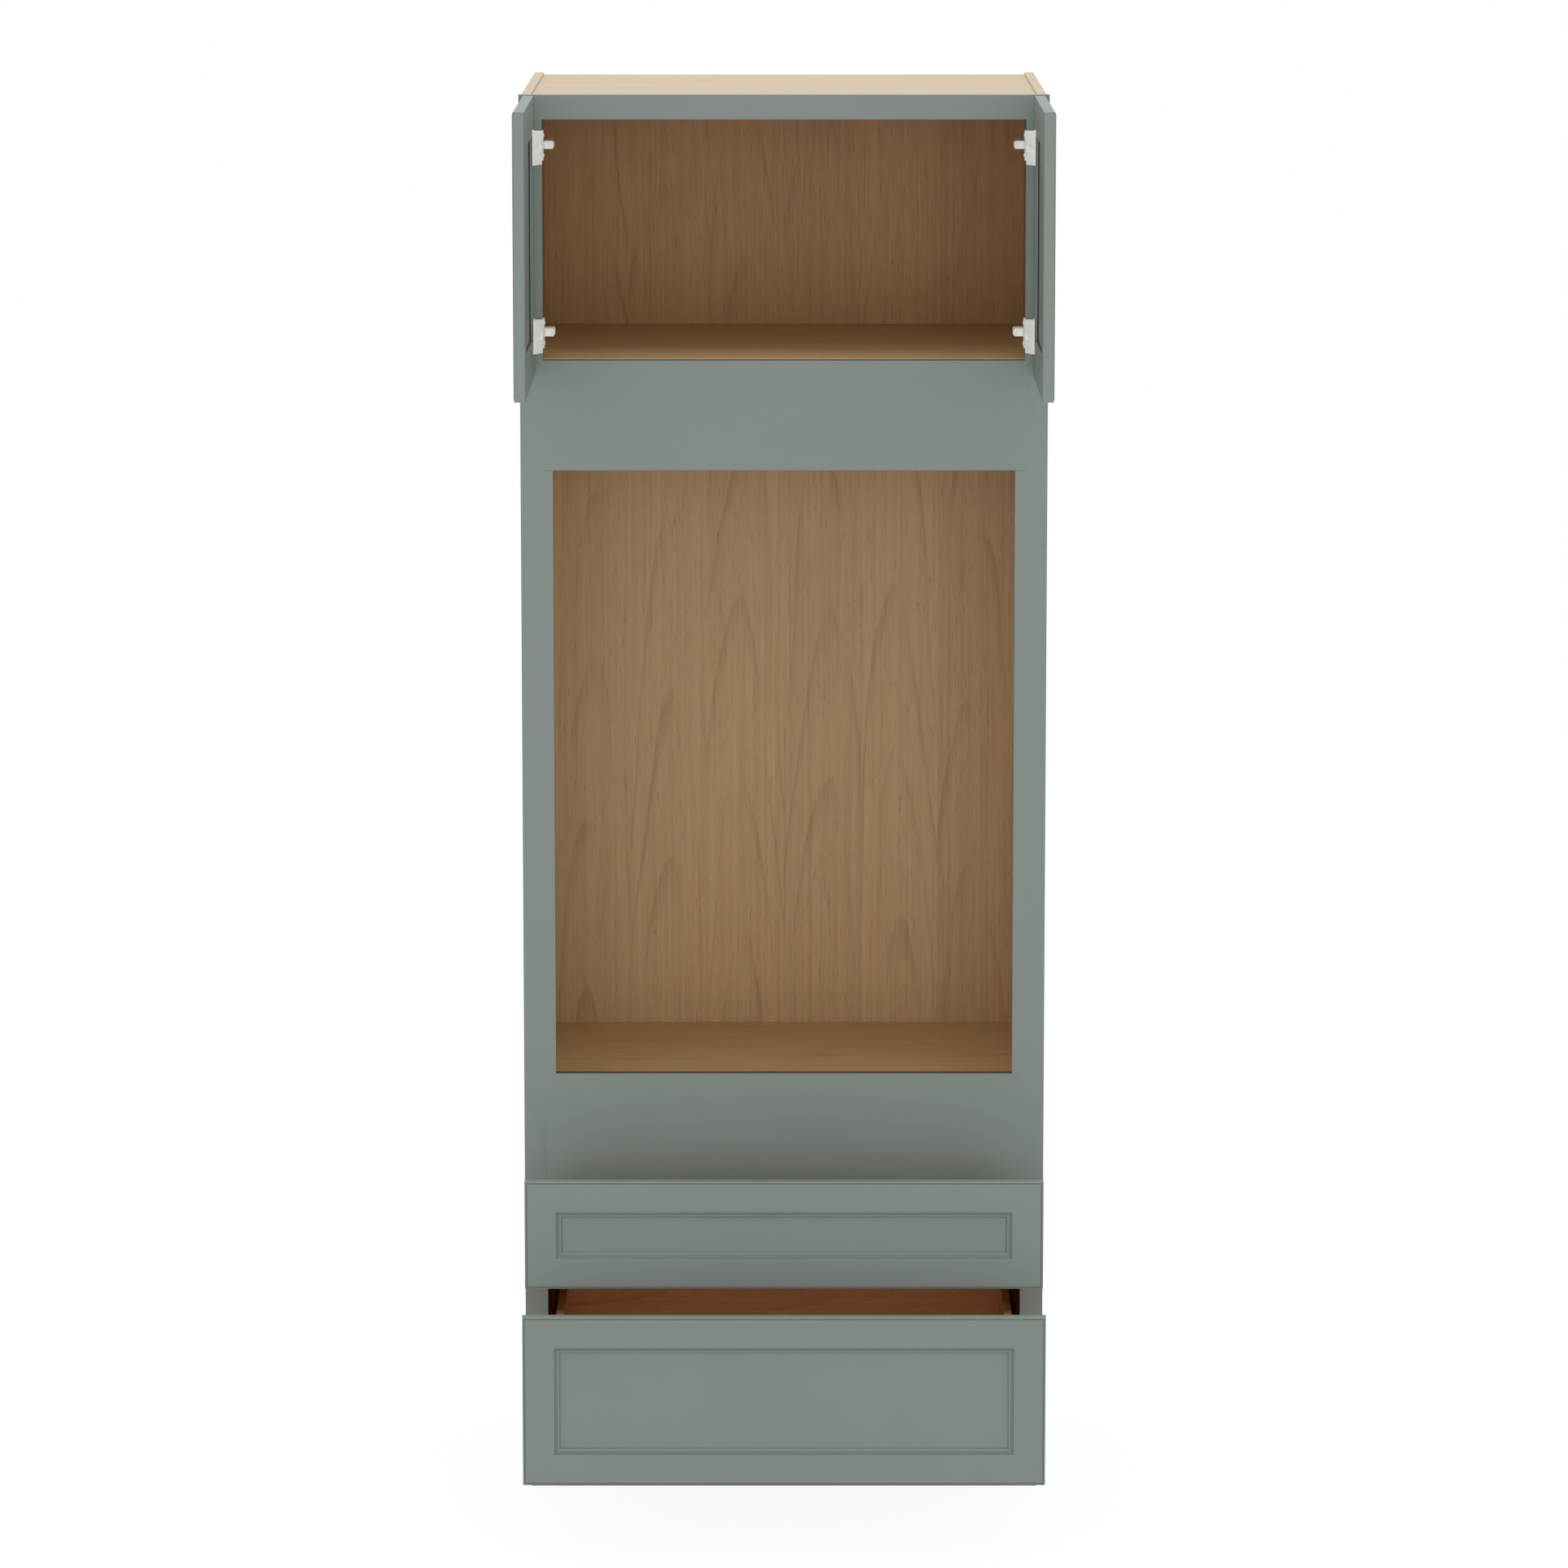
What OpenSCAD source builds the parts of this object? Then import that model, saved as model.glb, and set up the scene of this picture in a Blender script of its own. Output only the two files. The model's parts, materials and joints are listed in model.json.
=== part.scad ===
// Tall kitchen cabinet for a built-in oven: a two-door compartment on top, the open oven
// bay in the middle and two deep drawers below, on a recessed toe space.
// Millimetres. +X to the viewer's right, +Y towards the wall, +Z up. The origin is on the
// floor, in the wall plane, at the middle of the cabinet's width.

/* [Overall size] */
// Width across the face frame
cabinet_w = 838; // [762:2:914]
// Height from the floor to the top of the face frame
cabinet_h = 2286; // [2236:2:2438]
// Depth from the wall to the front of the face frame
cabinet_d = 610; // [580:2:660]
// Height of the toe space
toe_h = 111; // [90:1:120]
// Depth of the toe space behind the front of the face frame
toe_recess = 102; // [70:1:110]

/* [Face frame] */
// Thickness of the face frame
frame_t = 19; // [18:0.5:22]
// Width of each stile
stile_w = 36.5; // [34:0.5:42]
// Height of the top rail
top_rail_h = 39; // [34:1:60]
// Height of the rail above the oven bay
header_rail_h = 175.5; // [120:0.5:180]
// Height of the rail below the oven bay
sill_rail_h = 175.5; // [120:0.5:180]
// Height of the rail between the two drawers
drawer_rail_h = 38; // [30:1:45]
// Height of the rail below the lower drawer
bottom_rail_h = 38; // [30:1:45]
// Width of the filler strip on each side of the oven opening
filler_w = 15; // [5:1:60]
// How far the face frame stands past each side panel
frame_overhang = 4.5; // [0:0.5:6]

/* [Openings] */
// Height of the oven opening
oven_opening_h = 978; // [900:1:1000]
// Height of the upper drawer opening
upper_opening_h = 125; // [115:1:150]
// Height of the lower drawer opening
lower_opening_h = 225; // [180:1:250]

/* [Case panels] */
// Thickness of the side panels
side_t = 15; // [12:0.5:18]
// Thickness of the back panel
back_t = 12; // [9:1:18]
// Thickness of the top panel
top_t = 12; // [12:1:18]
// Thickness of the floor of the upper compartment
floor_t = 16; // [12:1:19]
// Thickness of the oven deck
deck_t = 18; // [18:1:25]
// Thickness of the bottom panel
bottom_t = 12; // [12:1:16]
// How far the oven deck lies below the top of the sill rail
deck_drop = 33.5; // [0:0.5:40]

/* [Doors and drawer fronts] */
// Thickness of the doors and drawer fronts
front_t = 18; // [18:1:22]
// Gap between the two doors when they are closed
door_gap = 3; // [2:0.5:4]
// Gap between a closed front and the face frame
front_gap = 3; // [2.5:0.5:4]
// Width of the door and drawer front members, moulding included
member_w = 59; // [52:1:70]
// Thickness of the flat centre panels
panel_t = 5; // [4:0.5:6]
// Distance of a centre panel from the back of its frame
panel_setback = 6; // [5:0.5:7]

/* [Drawers] */
// Thickness of the drawer box sides, front and back
box_t = 12.7; // [12:0.1:16]
// Length of the drawer boxes and of their slides
box_len = 533; // [480:1:540]
// Height of the upper drawer box
upper_box_h = 102; // [90:1:105]
// Height of the lower drawer box
lower_box_h = 152; // [130:1:152]

/* [How it stands] */
// Angle that each door is open
door_open = 90; // [0:1:100]
// Distance that the upper drawer is pulled out
upper_pull = 160; // [0:1:533]
// Distance that the lower drawer is pulled out
lower_pull = 288; // [0:1:533]

/* [Hidden] */
$fn = 64;

// Finishes, as colours
paint = "#82908A";
maple = "#D3C0A4";
birch = "#C79F70";
zinc = "#B9BDBF";
nickel = "#DDE0DD";

cut = 1; // how far a cutting shape runs past the face that it opens

// Planes of the case
frame_front = -cabinet_d;
frame_back = frame_front + frame_t;
back_front = -back_t;
half_w = cabinet_w / 2;
side_outer = half_w - frame_overhang;
side_inner = side_outer - side_t;
stile_inner = half_w - stile_w;
dado = 5;
rabbet = 8;
panel_drop = 3.5; // the top panel lies this far below the tops of the sides

// Heights of the face frame, from the floor up
bottom_rail_top = toe_h + bottom_rail_h;
lower_opening_top = bottom_rail_top + lower_opening_h;
drawer_rail_top = lower_opening_top + drawer_rail_h;
upper_opening_top = drawer_rail_top + upper_opening_h;
sill_top = upper_opening_top + sill_rail_h;
oven_top = sill_top + oven_opening_h;
header_top = oven_top + header_rail_h;
door_opening_top = cabinet_h - top_rail_h;

// Heights of the panels inside
floor_lip = 2; // the upper floor stands this far above its rail
top_panel_top = cabinet_h - panel_drop;
upper_floor_top = header_top + floor_lip;
deck_top = sill_top - deck_drop;
bottom_panel_top = bottom_rail_top - bottom_t;

// Mortise and tenon joints of the face frame
tenon_len = 20;
tenon_t = 8;
tenon_shoulder = 6;

// Doors: in a door's own frame X runs from its hinge edge, -Y out through its face, Z up
door_overlay = 30.5; // fixed by the hinges
door_lap = 23; // overlap on the rail below the doors
door_drop = 1; // from the top of the face frame down to the tops of the doors
door_edge = stile_inner + door_overlay;
door_w = door_edge - door_gap / 2;
door_bottom = header_top - door_lap;
door_top = cabinet_h - door_drop;
door_h = door_top - door_bottom;
door_back = frame_front - front_gap;

// Edge profile and panel groove of the door and front members
moulding_w = 9;
groove_d = 10;
groove_gap = 2; // room behind the panel in its groove
panel_clearance = 0.5;

// Hinges: the pin lies inside the cup, near the door's edge
pin_x = 7.5;
pin_depth = 10.5;
pivot_x = door_edge - pin_x;
pivot_y = door_back - pin_depth;
pin_r = 1.2;
eye_r = 2.4;
pin_clearance = 0.05;
cup_r = 17.5;
cup_depth = 14;
cup_wall = 0.6;
cup_floor = 0.8;
cup_x = 20.5;
hinge_heights = [66, door_h - 79];

// Drawer fronts, and how far they overlap the rails below and above their openings
upper_front_lap = [13, 37];
lower_front_lap = 10;
upper_front_z = [drawer_rail_top - upper_front_lap[0], upper_opening_top + upper_front_lap[1]];
lower_front_z = [toe_h, lower_opening_top + lower_front_lap];
upper_front_h = upper_front_z[1] - upper_front_z[0];
lower_front_h = lower_front_z[1] - lower_front_z[0];

// Drawer boxes and slides
upper_box_lift = 11; // above the rail below the box
lower_box_lift = 12;
slide_t = 12.7;
slide_h = 45;
box_half = stile_inner - slide_t;
box_front_y = frame_front - front_gap;
upper_box_z = drawer_rail_top + upper_box_lift;
lower_box_z = bottom_rail_top + lower_box_lift;
upper_slide_z = upper_box_z + upper_box_h / 2;
lower_slide_z = lower_box_z + lower_box_h / 2;
slide_inset = 2; // from the front of the face frame to the slides
slide_start = frame_front + slide_inset;
box_bottom_t = 6;
box_groove_d = 6;
box_bottom_lift = 12;
tail_pitch = 25.4;
tail_flare = 2;
pin_half_w = 3; // half the width of a dovetail pin at its narrow face

// ---------------------------------------------------------------- case

// One side panel, seen as the left one: its inner face is at X = -side_inner
module side_panel() {
    color(maple)
    difference() {
        translate([-side_outer, frame_back, 0])
            cube([side_t, -frame_back, cabinet_h]);
        // notch of the toe space
        translate([-side_outer - cut, frame_back - cut, -cut])
            cube([side_t + 2 * cut, toe_recess - frame_t + cut, toe_h + cut]);
        // rabbet for the back panel
        translate([-side_inner - rabbet, back_front, -cut])
            cube([rabbet + cut, back_t + cut, top_panel_top - top_t + cut]);
        side_dado(top_panel_top, top_t, 0);
        side_dado(upper_floor_top, floor_t, back_front);
        side_dado(bottom_panel_top, bottom_t, back_front);
    }
}

// Housing across a side panel for a shelf whose top is at z and which ends at y_end
module side_dado(z, t, y_end) {
    translate([-side_inner - dado, frame_back - cut, z - t])
        cube([dado + cut, y_end - frame_back + 2 * cut, t]);
}

// A level panel housed in both sides
module housed_panel(z, t, y_end) {
    translate([-side_inner - dado, frame_back, z - t])
        cube([2 * (side_inner + dado), y_end - frame_back, t]);
}

module left_side_panel() { side_panel(); }

module right_side_panel() { mirror([1, 0, 0]) side_panel(); }

module top_panel() { color(maple) housed_panel(top_panel_top, top_t, 0); }

module back_panel() {
    color(maple)
    translate([-side_inner - rabbet, back_front, 0])
        cube([2 * (side_inner + rabbet), back_t, top_panel_top - top_t]);
}

module upper_floor() { color(maple) housed_panel(upper_floor_top, floor_t, back_front); }

module oven_deck() {
    color(maple)
    translate([-side_inner, frame_back, deck_top - deck_t])
        cube([2 * side_inner, back_front - frame_back, deck_t]);
}

// The oven deck rests on a cleat along each side and one along the back
module oven_deck_cleats() {
    cleat_t = 19;
    cleat_h = 38;
    end_gap = 2;
    z = deck_top - deck_t - cleat_h;
    color(birch) {
        for (s = [-1, 1])
            translate([s * (side_inner - cleat_t / 2) - cleat_t / 2, frame_back, z])
                cube([cleat_t, back_front - frame_back, cleat_h]);
        translate([-side_inner + cleat_t + end_gap, back_front - cleat_t, z])
            cube([2 * (side_inner - cleat_t - end_gap), cleat_t, cleat_h]);
    }
}

module bottom_panel() { color(maple) housed_panel(bottom_panel_top, bottom_t, back_front); }

module toe_kick_board() {
    board_t = 12;
    color(maple)
    translate([-side_inner, frame_front + toe_recess, 0])
        cube([2 * side_inner, board_t, bottom_panel_top - bottom_t]);
}

// Cleats that bring the slides out flush with the inner edges of the stiles
module slide_cleats() {
    cleat_h = 70;
    cleat_t = side_inner - stile_inner;
    color(birch)
    for (z = [upper_slide_z, lower_slide_z], s = [-1, 1])
        translate([s * (side_inner - cleat_t / 2) - cleat_t / 2, frame_back, z - cleat_h / 2])
            cube([cleat_t, back_front - frame_back, cleat_h]);
}

// ---------------------------------------------------------------- face frame

// Tongue of the rail joint that lies between heights z0 and z1 at the stile's inner edge,
// on the left; it is also the mortise that takes it
module tenon(z0, z1) {
    translate([-stile_inner - tenon_len, frame_front + (frame_t - tenon_t) / 2, z0 + tenon_shoulder])
        cube([tenon_len, tenon_t, z1 - z0 - 2 * tenon_shoulder]);
}

RAIL_SPANS = [
    [toe_h, bottom_rail_top],
    [lower_opening_top, drawer_rail_top],
    [upper_opening_top, sill_top],
    [oven_top, header_top],
    [door_opening_top, cabinet_h]
];

module frame_stile() {
    color(paint)
    difference() {
        translate([-half_w, frame_front, toe_h])
            cube([stile_w, frame_t, cabinet_h - toe_h]);
        for (span = RAIL_SPANS)
            tenon(span[0], span[1]);
    }
}

module frame_rail(span) {
    color(paint)
    union() {
        translate([-stile_inner, frame_front, span[0]])
            cube([2 * stile_inner, frame_t, span[1] - span[0]]);
        tenon(span[0], span[1]);
        mirror([1, 0, 0]) tenon(span[0], span[1]);
    }
}

module oven_filler() {
    color(paint)
    translate([-stile_inner, frame_front, sill_top])
        cube([filler_w, frame_t, oven_opening_h]);
}

module left_stile() { frame_stile(); }

module right_stile() { mirror([1, 0, 0]) frame_stile(); }

module top_rail() { frame_rail(RAIL_SPANS[4]); }

module oven_header_rail() { frame_rail(RAIL_SPANS[3]); }

module oven_sill_rail() { frame_rail(RAIL_SPANS[2]); }

module drawer_rail() { frame_rail(RAIL_SPANS[1]); }

module bottom_rail() { frame_rail(RAIL_SPANS[0]); }

module left_oven_filler() { oven_filler(); }

module right_oven_filler() { mirror([1, 0, 0]) oven_filler(); }

// ---------------------------------------------------------------- framed fronts

function arc(cx, cy, r, a0, a1, steps = 6) =
    [for (i = [0:steps]) let (a = a0 + (a1 - a0) * i / steps) [cx + r * cos(a), cy + r * sin(a)]];

// Section of a member: X from its outer edge inwards, Y from its back face to its front.
// The outer front edge is a small quarter round set off by a fine groove. The inner edge
// drops by a small step, a cove and a bead to the centre panel that sits in a groove.
module member_section() {
    flat = member_w - moulding_w;
    panel_front = panel_setback + panel_t;
    groove_back = panel_setback - groove_gap;
    ease = 0.8;
    edge_r = 2.4;
    edge_step = 0.6;
    quirk_w = 1.8;
    quirk_d = 2.4;
    inner_step = 1.8;
    cove_r = 2.9;
    cove_start = [0.4, inner_step];
    bead_r = 3.2;
    bead_drop = 2.9;
    bead_x = 4.4; // foot of the bead
    polygon(concat(
        [[0, ease]],
        arc(edge_r, front_t - edge_step - edge_r, edge_r, 180, 90),
        [[edge_r + 0.1, front_t - quirk_d], [edge_r + quirk_w, front_t - quirk_d]],
        [[edge_r + quirk_w, front_t], [flat, front_t], [flat, front_t - inner_step]],
        arc(flat + cove_start[0] + cove_r, front_t - cove_start[1], cove_r, 180, 265, 5),
        [[flat + bead_x, front_t - cove_start[1] - cove_r]],
        arc(member_w - bead_r, front_t - bead_drop - bead_r, bead_r, 110, 0, 6),
        [[member_w, panel_front], [member_w - groove_d, panel_front]],
        [[member_w - groove_d, groove_back], [member_w, groove_back]],
        [[member_w, 0], [ease, 0]]
    ));
}

// A member of the given length along Z with a mitre at each end; its outer edge is at
// X = 0, its back in the plane Y = 0 and its face towards -Y
module member(length) {
    color(paint)
    intersection() {
        linear_extrude(length) mirror([0, 1]) member_section();
        translate([0, cut, 0]) rotate([90, 0, 0])
            linear_extrude(front_t + 2 * cut)
                polygon([[0, 0], [member_w, member_w], [member_w, length - member_w], [0, length]]);
    }
}

// The same member laid along +X as the bottom rail of a front of width w
module bottom_member(w) {
    mirror([1, 0, 0]) rotate([0, -90, 0]) member(w);
}

// The members of a front w wide and h high, whose lower left back corner is the origin
module front_left(h) { member(h); }

module front_right(w, h) { translate([w, 0, 0]) mirror([1, 0, 0]) member(h); }

module front_bottom(w) { bottom_member(w); }

module front_top(w, h) { translate([0, 0, h]) mirror([0, 0, 1]) bottom_member(w); }

module front_panel(w, h) {
    inset = member_w - groove_d + panel_clearance;
    color(paint)
    translate([inset, -panel_setback - panel_t, inset])
        cube([w - 2 * inset, panel_t, h - 2 * inset]);
}

// ---------------------------------------------------------------- doors

// Moves a shape from the left door's own frame to the place where the open door stands
module at_left_door() {
    translate([-pivot_x, pivot_y, 0])
        rotate([0, 0, -door_open])
            translate([pivot_x - door_edge, door_back - pivot_y, door_bottom])
                children();
}

module at_right_door() { mirror([1, 0, 0]) at_left_door() children(); }

// The hinge stile has two blind holes for the hinge cups in its back face
module hinge_stile() {
    color(paint)
    difference() {
        member(door_h);
        for (z = hinge_heights)
            translate([cup_x, cut, z]) rotate([90, 0, 0]) cylinder(r = cup_r, h = cup_depth + cut);
    }
}

// Pressed cup, its mounting flange, the two raised wings, the lower saddle that joins them
// and the hinge pin
module hinge_cup() {
    flange_t = 1.5;
    flange_h = 54;
    flange_reach = 61.5; // from the door's edge
    rim_w = 1.2;
    wing_gap = 5.5; // from the middle to each wing
    wing_h = 21;
    wing_profile = [
        [38, 0], [38, 12.5], [39, 14.3], [40.5, 14.3], [58.5, 4.6], [61, 2.4], [flange_reach, 0]
    ];
    saddle_profile = [
        [38, 0], [38, 12.5], [39, 14.3], [40.5, 14.3], [42, 13.5], [43, 11.1], [57, 3.6], [59, 0]
    ];
    difference() {
        union() {
            rotate([90, 0, 0]) cylinder(r = cup_r, h = cup_depth);
            rotate([-90, 0, 0]) cylinder(r = cup_r + rim_w, h = flange_t);
            translate([0, 0, -flange_h / 2]) cube([flange_reach - cup_x, flange_t, flange_h]);
            for (s = [0, 1]) mirror([0, 0, s])
                translate([-cup_x, 0, wing_gap]) linear_extrude(wing_h) polygon(wing_profile);
            translate([-cup_x, 0, -wing_gap]) linear_extrude(2 * wing_gap) polygon(saddle_profile);
        }
        translate([0, flange_t + cut, 0]) rotate([90, 0, 0])
            cylinder(r = cup_r - cup_wall, h = cup_depth - cup_floor + flange_t + cut);
    }
    pin_half = sqrt(pow(cup_r - cup_wall / 2, 2) - pow(cup_x - pin_x, 2));
    translate([pin_x - cup_x, -pin_depth, -pin_half]) cylinder(r = pin_r, h = 2 * pin_half);
}

module hinge_cups() {
    color(nickel)
    for (z = hinge_heights)
        translate([cup_x, 0, z]) hinge_cup();
}

// Outline of a strip of thickness t that follows the points p, with mitred bends
function unit(v) = v / norm(v);
function side_of(p, i) =
    let (
        before = unit(p[max(i, 1)] - p[max(i, 1) - 1]),
        after = unit(p[min(i, len(p) - 2) + 1] - p[min(i, len(p) - 2)]),
        along = unit(before + after),
        across = [-along[1], along[0]]
    )
    across / (across * [-before[1], before[0]]);
function strip_outline(p, t) = concat(
    [for (i = [0:len(p) - 1]) p[i] + side_of(p, i) * t / 2],
    [for (i = [len(p) - 1:-1:0]) p[i] - side_of(p, i) * t / 2]
);

// Fixed arm: from the eye on the pin, out of the cup, round the stile's edge to the
// screwed block inside the opening. Origin at the front inner corner of the left stile.
module hinge_arm() {
    arm_h = 10;
    arm_t = 1.6;
    eye = [stile_inner - pivot_x, pivot_y - frame_front];
    reach = 13.5; // from the eye to the first bend
    knee = [eye[0] + reach, eye[1] - arm_t / 2];
    bend = [3.4, -2.6]; // round the stile's edge
    overlap = 3; // of the arm's end and the block
    block_x = 2.6;
    block_y = 17;
    block_w = 16;
    block_h = 12.6;
    block_len = 37;
    nose = 2.6;
    recess = [9.5, 1.2, 8.2];
    difference() {
        union() {
            translate([eye[0], eye[1], -arm_h / 2]) cylinder(r = eye_r, h = arm_h);
            translate([0, 0, -arm_h / 2])
                linear_extrude(arm_h)
                    polygon(strip_outline(
                        [[eye[0], knee[1]], knee, bend, [bend[0], block_y + overlap]], arm_t));
            translate([block_x, block_y, 0]) rotate([-90, 0, 0])
                linear_extrude(block_len)
                    polygon([
                        [0, -block_h / 2], [block_w - nose, -block_h / 2], [block_w, nose - block_h / 2],
                        [block_w, block_h / 2 - nose], [block_w - nose, block_h / 2], [0, block_h / 2]
                    ]);
        }
        translate([eye[0], eye[1], -arm_h]) cylinder(r = pin_r + pin_clearance, h = 2 * arm_h);
        // recess in the face of the block
        translate([block_x + 2.5, block_y - cut, -recess[2] / 2])
            cube([recess[0], recess[1] + cut, recess[2]]);
    }
}

// Plate screwed to the stile's edge, under the arm
module hinge_plate() {
    plate = [2.6, 18, 47.5];
    margin = 0.5; // behind the face of the stile
    translate([0, margin, -plate[2] / 2]) cube(plate);
}

// Both hinges of the left stile
module at_left_hinges() {
    for (z = hinge_heights)
        translate([-stile_inner, frame_front, door_bottom + z]) children();
}

module left_hinge_arms() { color(nickel) at_left_hinges() hinge_arm(); }

module right_hinge_arms() { mirror([1, 0, 0]) left_hinge_arms(); }

module left_hinge_plates() { color(nickel) at_left_hinges() hinge_plate(); }

module right_hinge_plates() { mirror([1, 0, 0]) left_hinge_plates(); }

module left_door_hinge_stile() { at_left_door() hinge_stile(); }

module left_door_meeting_stile() { at_left_door() front_right(door_w, door_h); }

module left_door_top_rail() { at_left_door() front_top(door_w, door_h); }

module left_door_bottom_rail() { at_left_door() front_bottom(door_w); }

module left_door_panel() { at_left_door() front_panel(door_w, door_h); }

module left_door_hinge_cups() { at_left_door() hinge_cups(); }

module right_door_hinge_stile() { at_right_door() hinge_stile(); }

module right_door_meeting_stile() { at_right_door() front_right(door_w, door_h); }

module right_door_top_rail() { at_right_door() front_top(door_w, door_h); }

module right_door_bottom_rail() { at_right_door() front_bottom(door_w); }

module right_door_panel() { at_right_door() front_panel(door_w, door_h); }

module right_door_hinge_cups() { at_right_door() hinge_cups(); }

// ---------------------------------------------------------------- slides

// Channel of a telescopic slide in section: X away from the side that it is fixed to,
// Y is height. The web is at web_x and the two flanges run from it to lip_x.
module channel(half_h, web_x, lip_x) {
    gauge = 1.2;
    web_lo = web_x < lip_x ? web_x : web_x - gauge;
    flange_lo = min(web_x, lip_x);
    translate([web_lo, -half_h]) square([gauge, 2 * half_h]);
    for (s = [0, 1]) mirror([0, s])
        translate([flange_lo, half_h - gauge]) square([abs(lip_x - web_x), gauge]);
}

// The same channel on both sides of the cabinet, from y_start over length
module slide_pair(z, y_start, length, half_h, web_x, lip_x) {
    color(zinc)
    for (s = [0, 1]) mirror([s, 0, 0])
        translate([-stile_inner, y_start + length, z]) rotate([90, 0, 0])
            linear_extrude(length) channel(half_h, web_x, lip_x);
}

module slide_cabinet_members() {
    lip_x = 9.5;
    for (z = [upper_slide_z, lower_slide_z])
        slide_pair(z, slide_start, box_len, slide_h / 2, 0, lip_x);
}

// Middle members nest inside the cabinet members and travel half as far as the drawer
module slide_middle(z, pull) {
    setback = 8;
    shorter = 28;
    nested = 4.6;
    web_x = 2.4;
    lip_x = 10.9;
    y = slide_start + setback - pull / 2;
    slide_pair(z, y, box_len - shorter, slide_h / 2 - nested, web_x, lip_x);
}

// Drawer members open towards the cabinet and nest inside the middle members
module slide_drawer(z, pull) {
    setback = 4;
    shorter = 12;
    nested = 10;
    lip_x = 5;
    y = slide_start + setback - pull;
    slide_pair(z, y, box_len - shorter, slide_h / 2 - nested, slide_t, lip_x);
}

module upper_slide_middle_members() { slide_middle(upper_slide_z, upper_pull); }

module lower_slide_middle_members() { slide_middle(lower_slide_z, lower_pull); }

module upper_slide_drawer_members() { slide_drawer(upper_slide_z, upper_pull); }

module lower_slide_drawer_members() { slide_drawer(lower_slide_z, lower_pull); }

// ---------------------------------------------------------------- drawer boxes

// Tails along the end of a drawer side of height h: Y from the end of the side inwards
module tails(h) {
    count = floor(h / tail_pitch);
    pitch = h / count;
    for (i = [0:count - 1]) {
        z0 = i == 0 ? 0 : i * pitch + pin_half_w;
        z1 = i == count - 1 ? h : (i + 1) * pitch - pin_half_w;
        flare0 = i == 0 ? 0 : tail_flare;
        flare1 = i == count - 1 ? 0 : tail_flare;
        polygon([[0, z0 - flare0], [box_t, z0], [box_t, z1], [0, z1 + flare1]]);
    }
}

// Side of a drawer box, on the left: X from its outer face inwards, dovetailed at both ends
module box_side(h) {
    color(birch)
    difference() {
        rotate([90, 0, 90])
            linear_extrude(box_t) {
                tails(h);
                translate([box_len, 0]) mirror([1, 0]) tails(h);
                translate([box_t, 0]) square([box_len - 2 * box_t, h]);
            }
        translate([box_t - box_groove_d, box_t - box_groove_d, box_bottom_lift])
            cube([box_groove_d + cut, box_len - 2 * (box_t - box_groove_d), box_bottom_t]);
    }
}

// Front or back of a drawer box: its outer face is at Y = 0 and pins fill the gaps
// between the tails of the sides
module box_end(h) {
    color(birch)
    difference() {
        translate([-box_half, 0, 0]) cube([2 * box_half, box_t, h]);
        for (s = [0, 1]) mirror([s, 0, 0])
            translate([-box_half - cut, 0, 0]) rotate([90, 0, 90])
                linear_extrude(box_t + cut) tails(h);
        translate([-box_half + box_t - box_groove_d, box_t - box_groove_d, box_bottom_lift])
            cube([2 * (box_half - box_t + box_groove_d), box_groove_d + cut, box_bottom_t]);
    }
}

module box_bottom() {
    inset = box_t - box_groove_d;
    color(birch)
    translate([-box_half + inset, inset, box_bottom_lift])
        cube([2 * (box_half - inset), box_len - 2 * inset, box_bottom_t]);
}

// Places a drawer box whose lower edge is at height z, pulled out by the given distance
module at_box(z, pull) { translate([0, box_front_y - pull, z]) children(); }

module at_upper_box() { at_box(upper_box_z, upper_pull) children(); }

module at_lower_box() { at_box(lower_box_z, lower_pull) children(); }

// Places a drawer front from its own lower left back corner
module at_front(z, pull) { translate([-door_edge, box_front_y - pull, z]) children(); }

module at_upper_front() { at_front(upper_front_z[0], upper_pull) children(); }

module at_lower_front() { at_front(lower_front_z[0], lower_pull) children(); }

module upper_front_left_stile() { at_upper_front() front_left(upper_front_h); }

module upper_front_right_stile() { at_upper_front() front_right(2 * door_edge, upper_front_h); }

module upper_front_top_rail() { at_upper_front() front_top(2 * door_edge, upper_front_h); }

module upper_front_bottom_rail() { at_upper_front() front_bottom(2 * door_edge); }

module upper_front_panel() { at_upper_front() front_panel(2 * door_edge, upper_front_h); }

module upper_box_left_side() { at_upper_box() translate([-box_half, 0, 0]) box_side(upper_box_h); }

module upper_box_right_side() {
    at_upper_box() translate([box_half, 0, 0]) mirror([1, 0, 0]) box_side(upper_box_h);
}

module upper_box_front() { at_upper_box() box_end(upper_box_h); }

module upper_box_back() {
    at_upper_box() translate([0, box_len, 0]) mirror([0, 1, 0]) box_end(upper_box_h);
}

module upper_box_bottom() { at_upper_box() box_bottom(); }

module lower_front_left_stile() { at_lower_front() front_left(lower_front_h); }

module lower_front_right_stile() { at_lower_front() front_right(2 * door_edge, lower_front_h); }

module lower_front_top_rail() { at_lower_front() front_top(2 * door_edge, lower_front_h); }

module lower_front_bottom_rail() { at_lower_front() front_bottom(2 * door_edge); }

module lower_front_panel() { at_lower_front() front_panel(2 * door_edge, lower_front_h); }

module lower_box_left_side() { at_lower_box() translate([-box_half, 0, 0]) box_side(lower_box_h); }

module lower_box_right_side() {
    at_lower_box() translate([box_half, 0, 0]) mirror([1, 0, 0]) box_side(lower_box_h);
}

module lower_box_front() { at_lower_box() box_end(lower_box_h); }

module lower_box_back() {
    at_lower_box() translate([0, box_len, 0]) mirror([0, 1, 0]) box_end(lower_box_h);
}

module lower_box_bottom() { at_lower_box() box_bottom(); }

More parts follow.
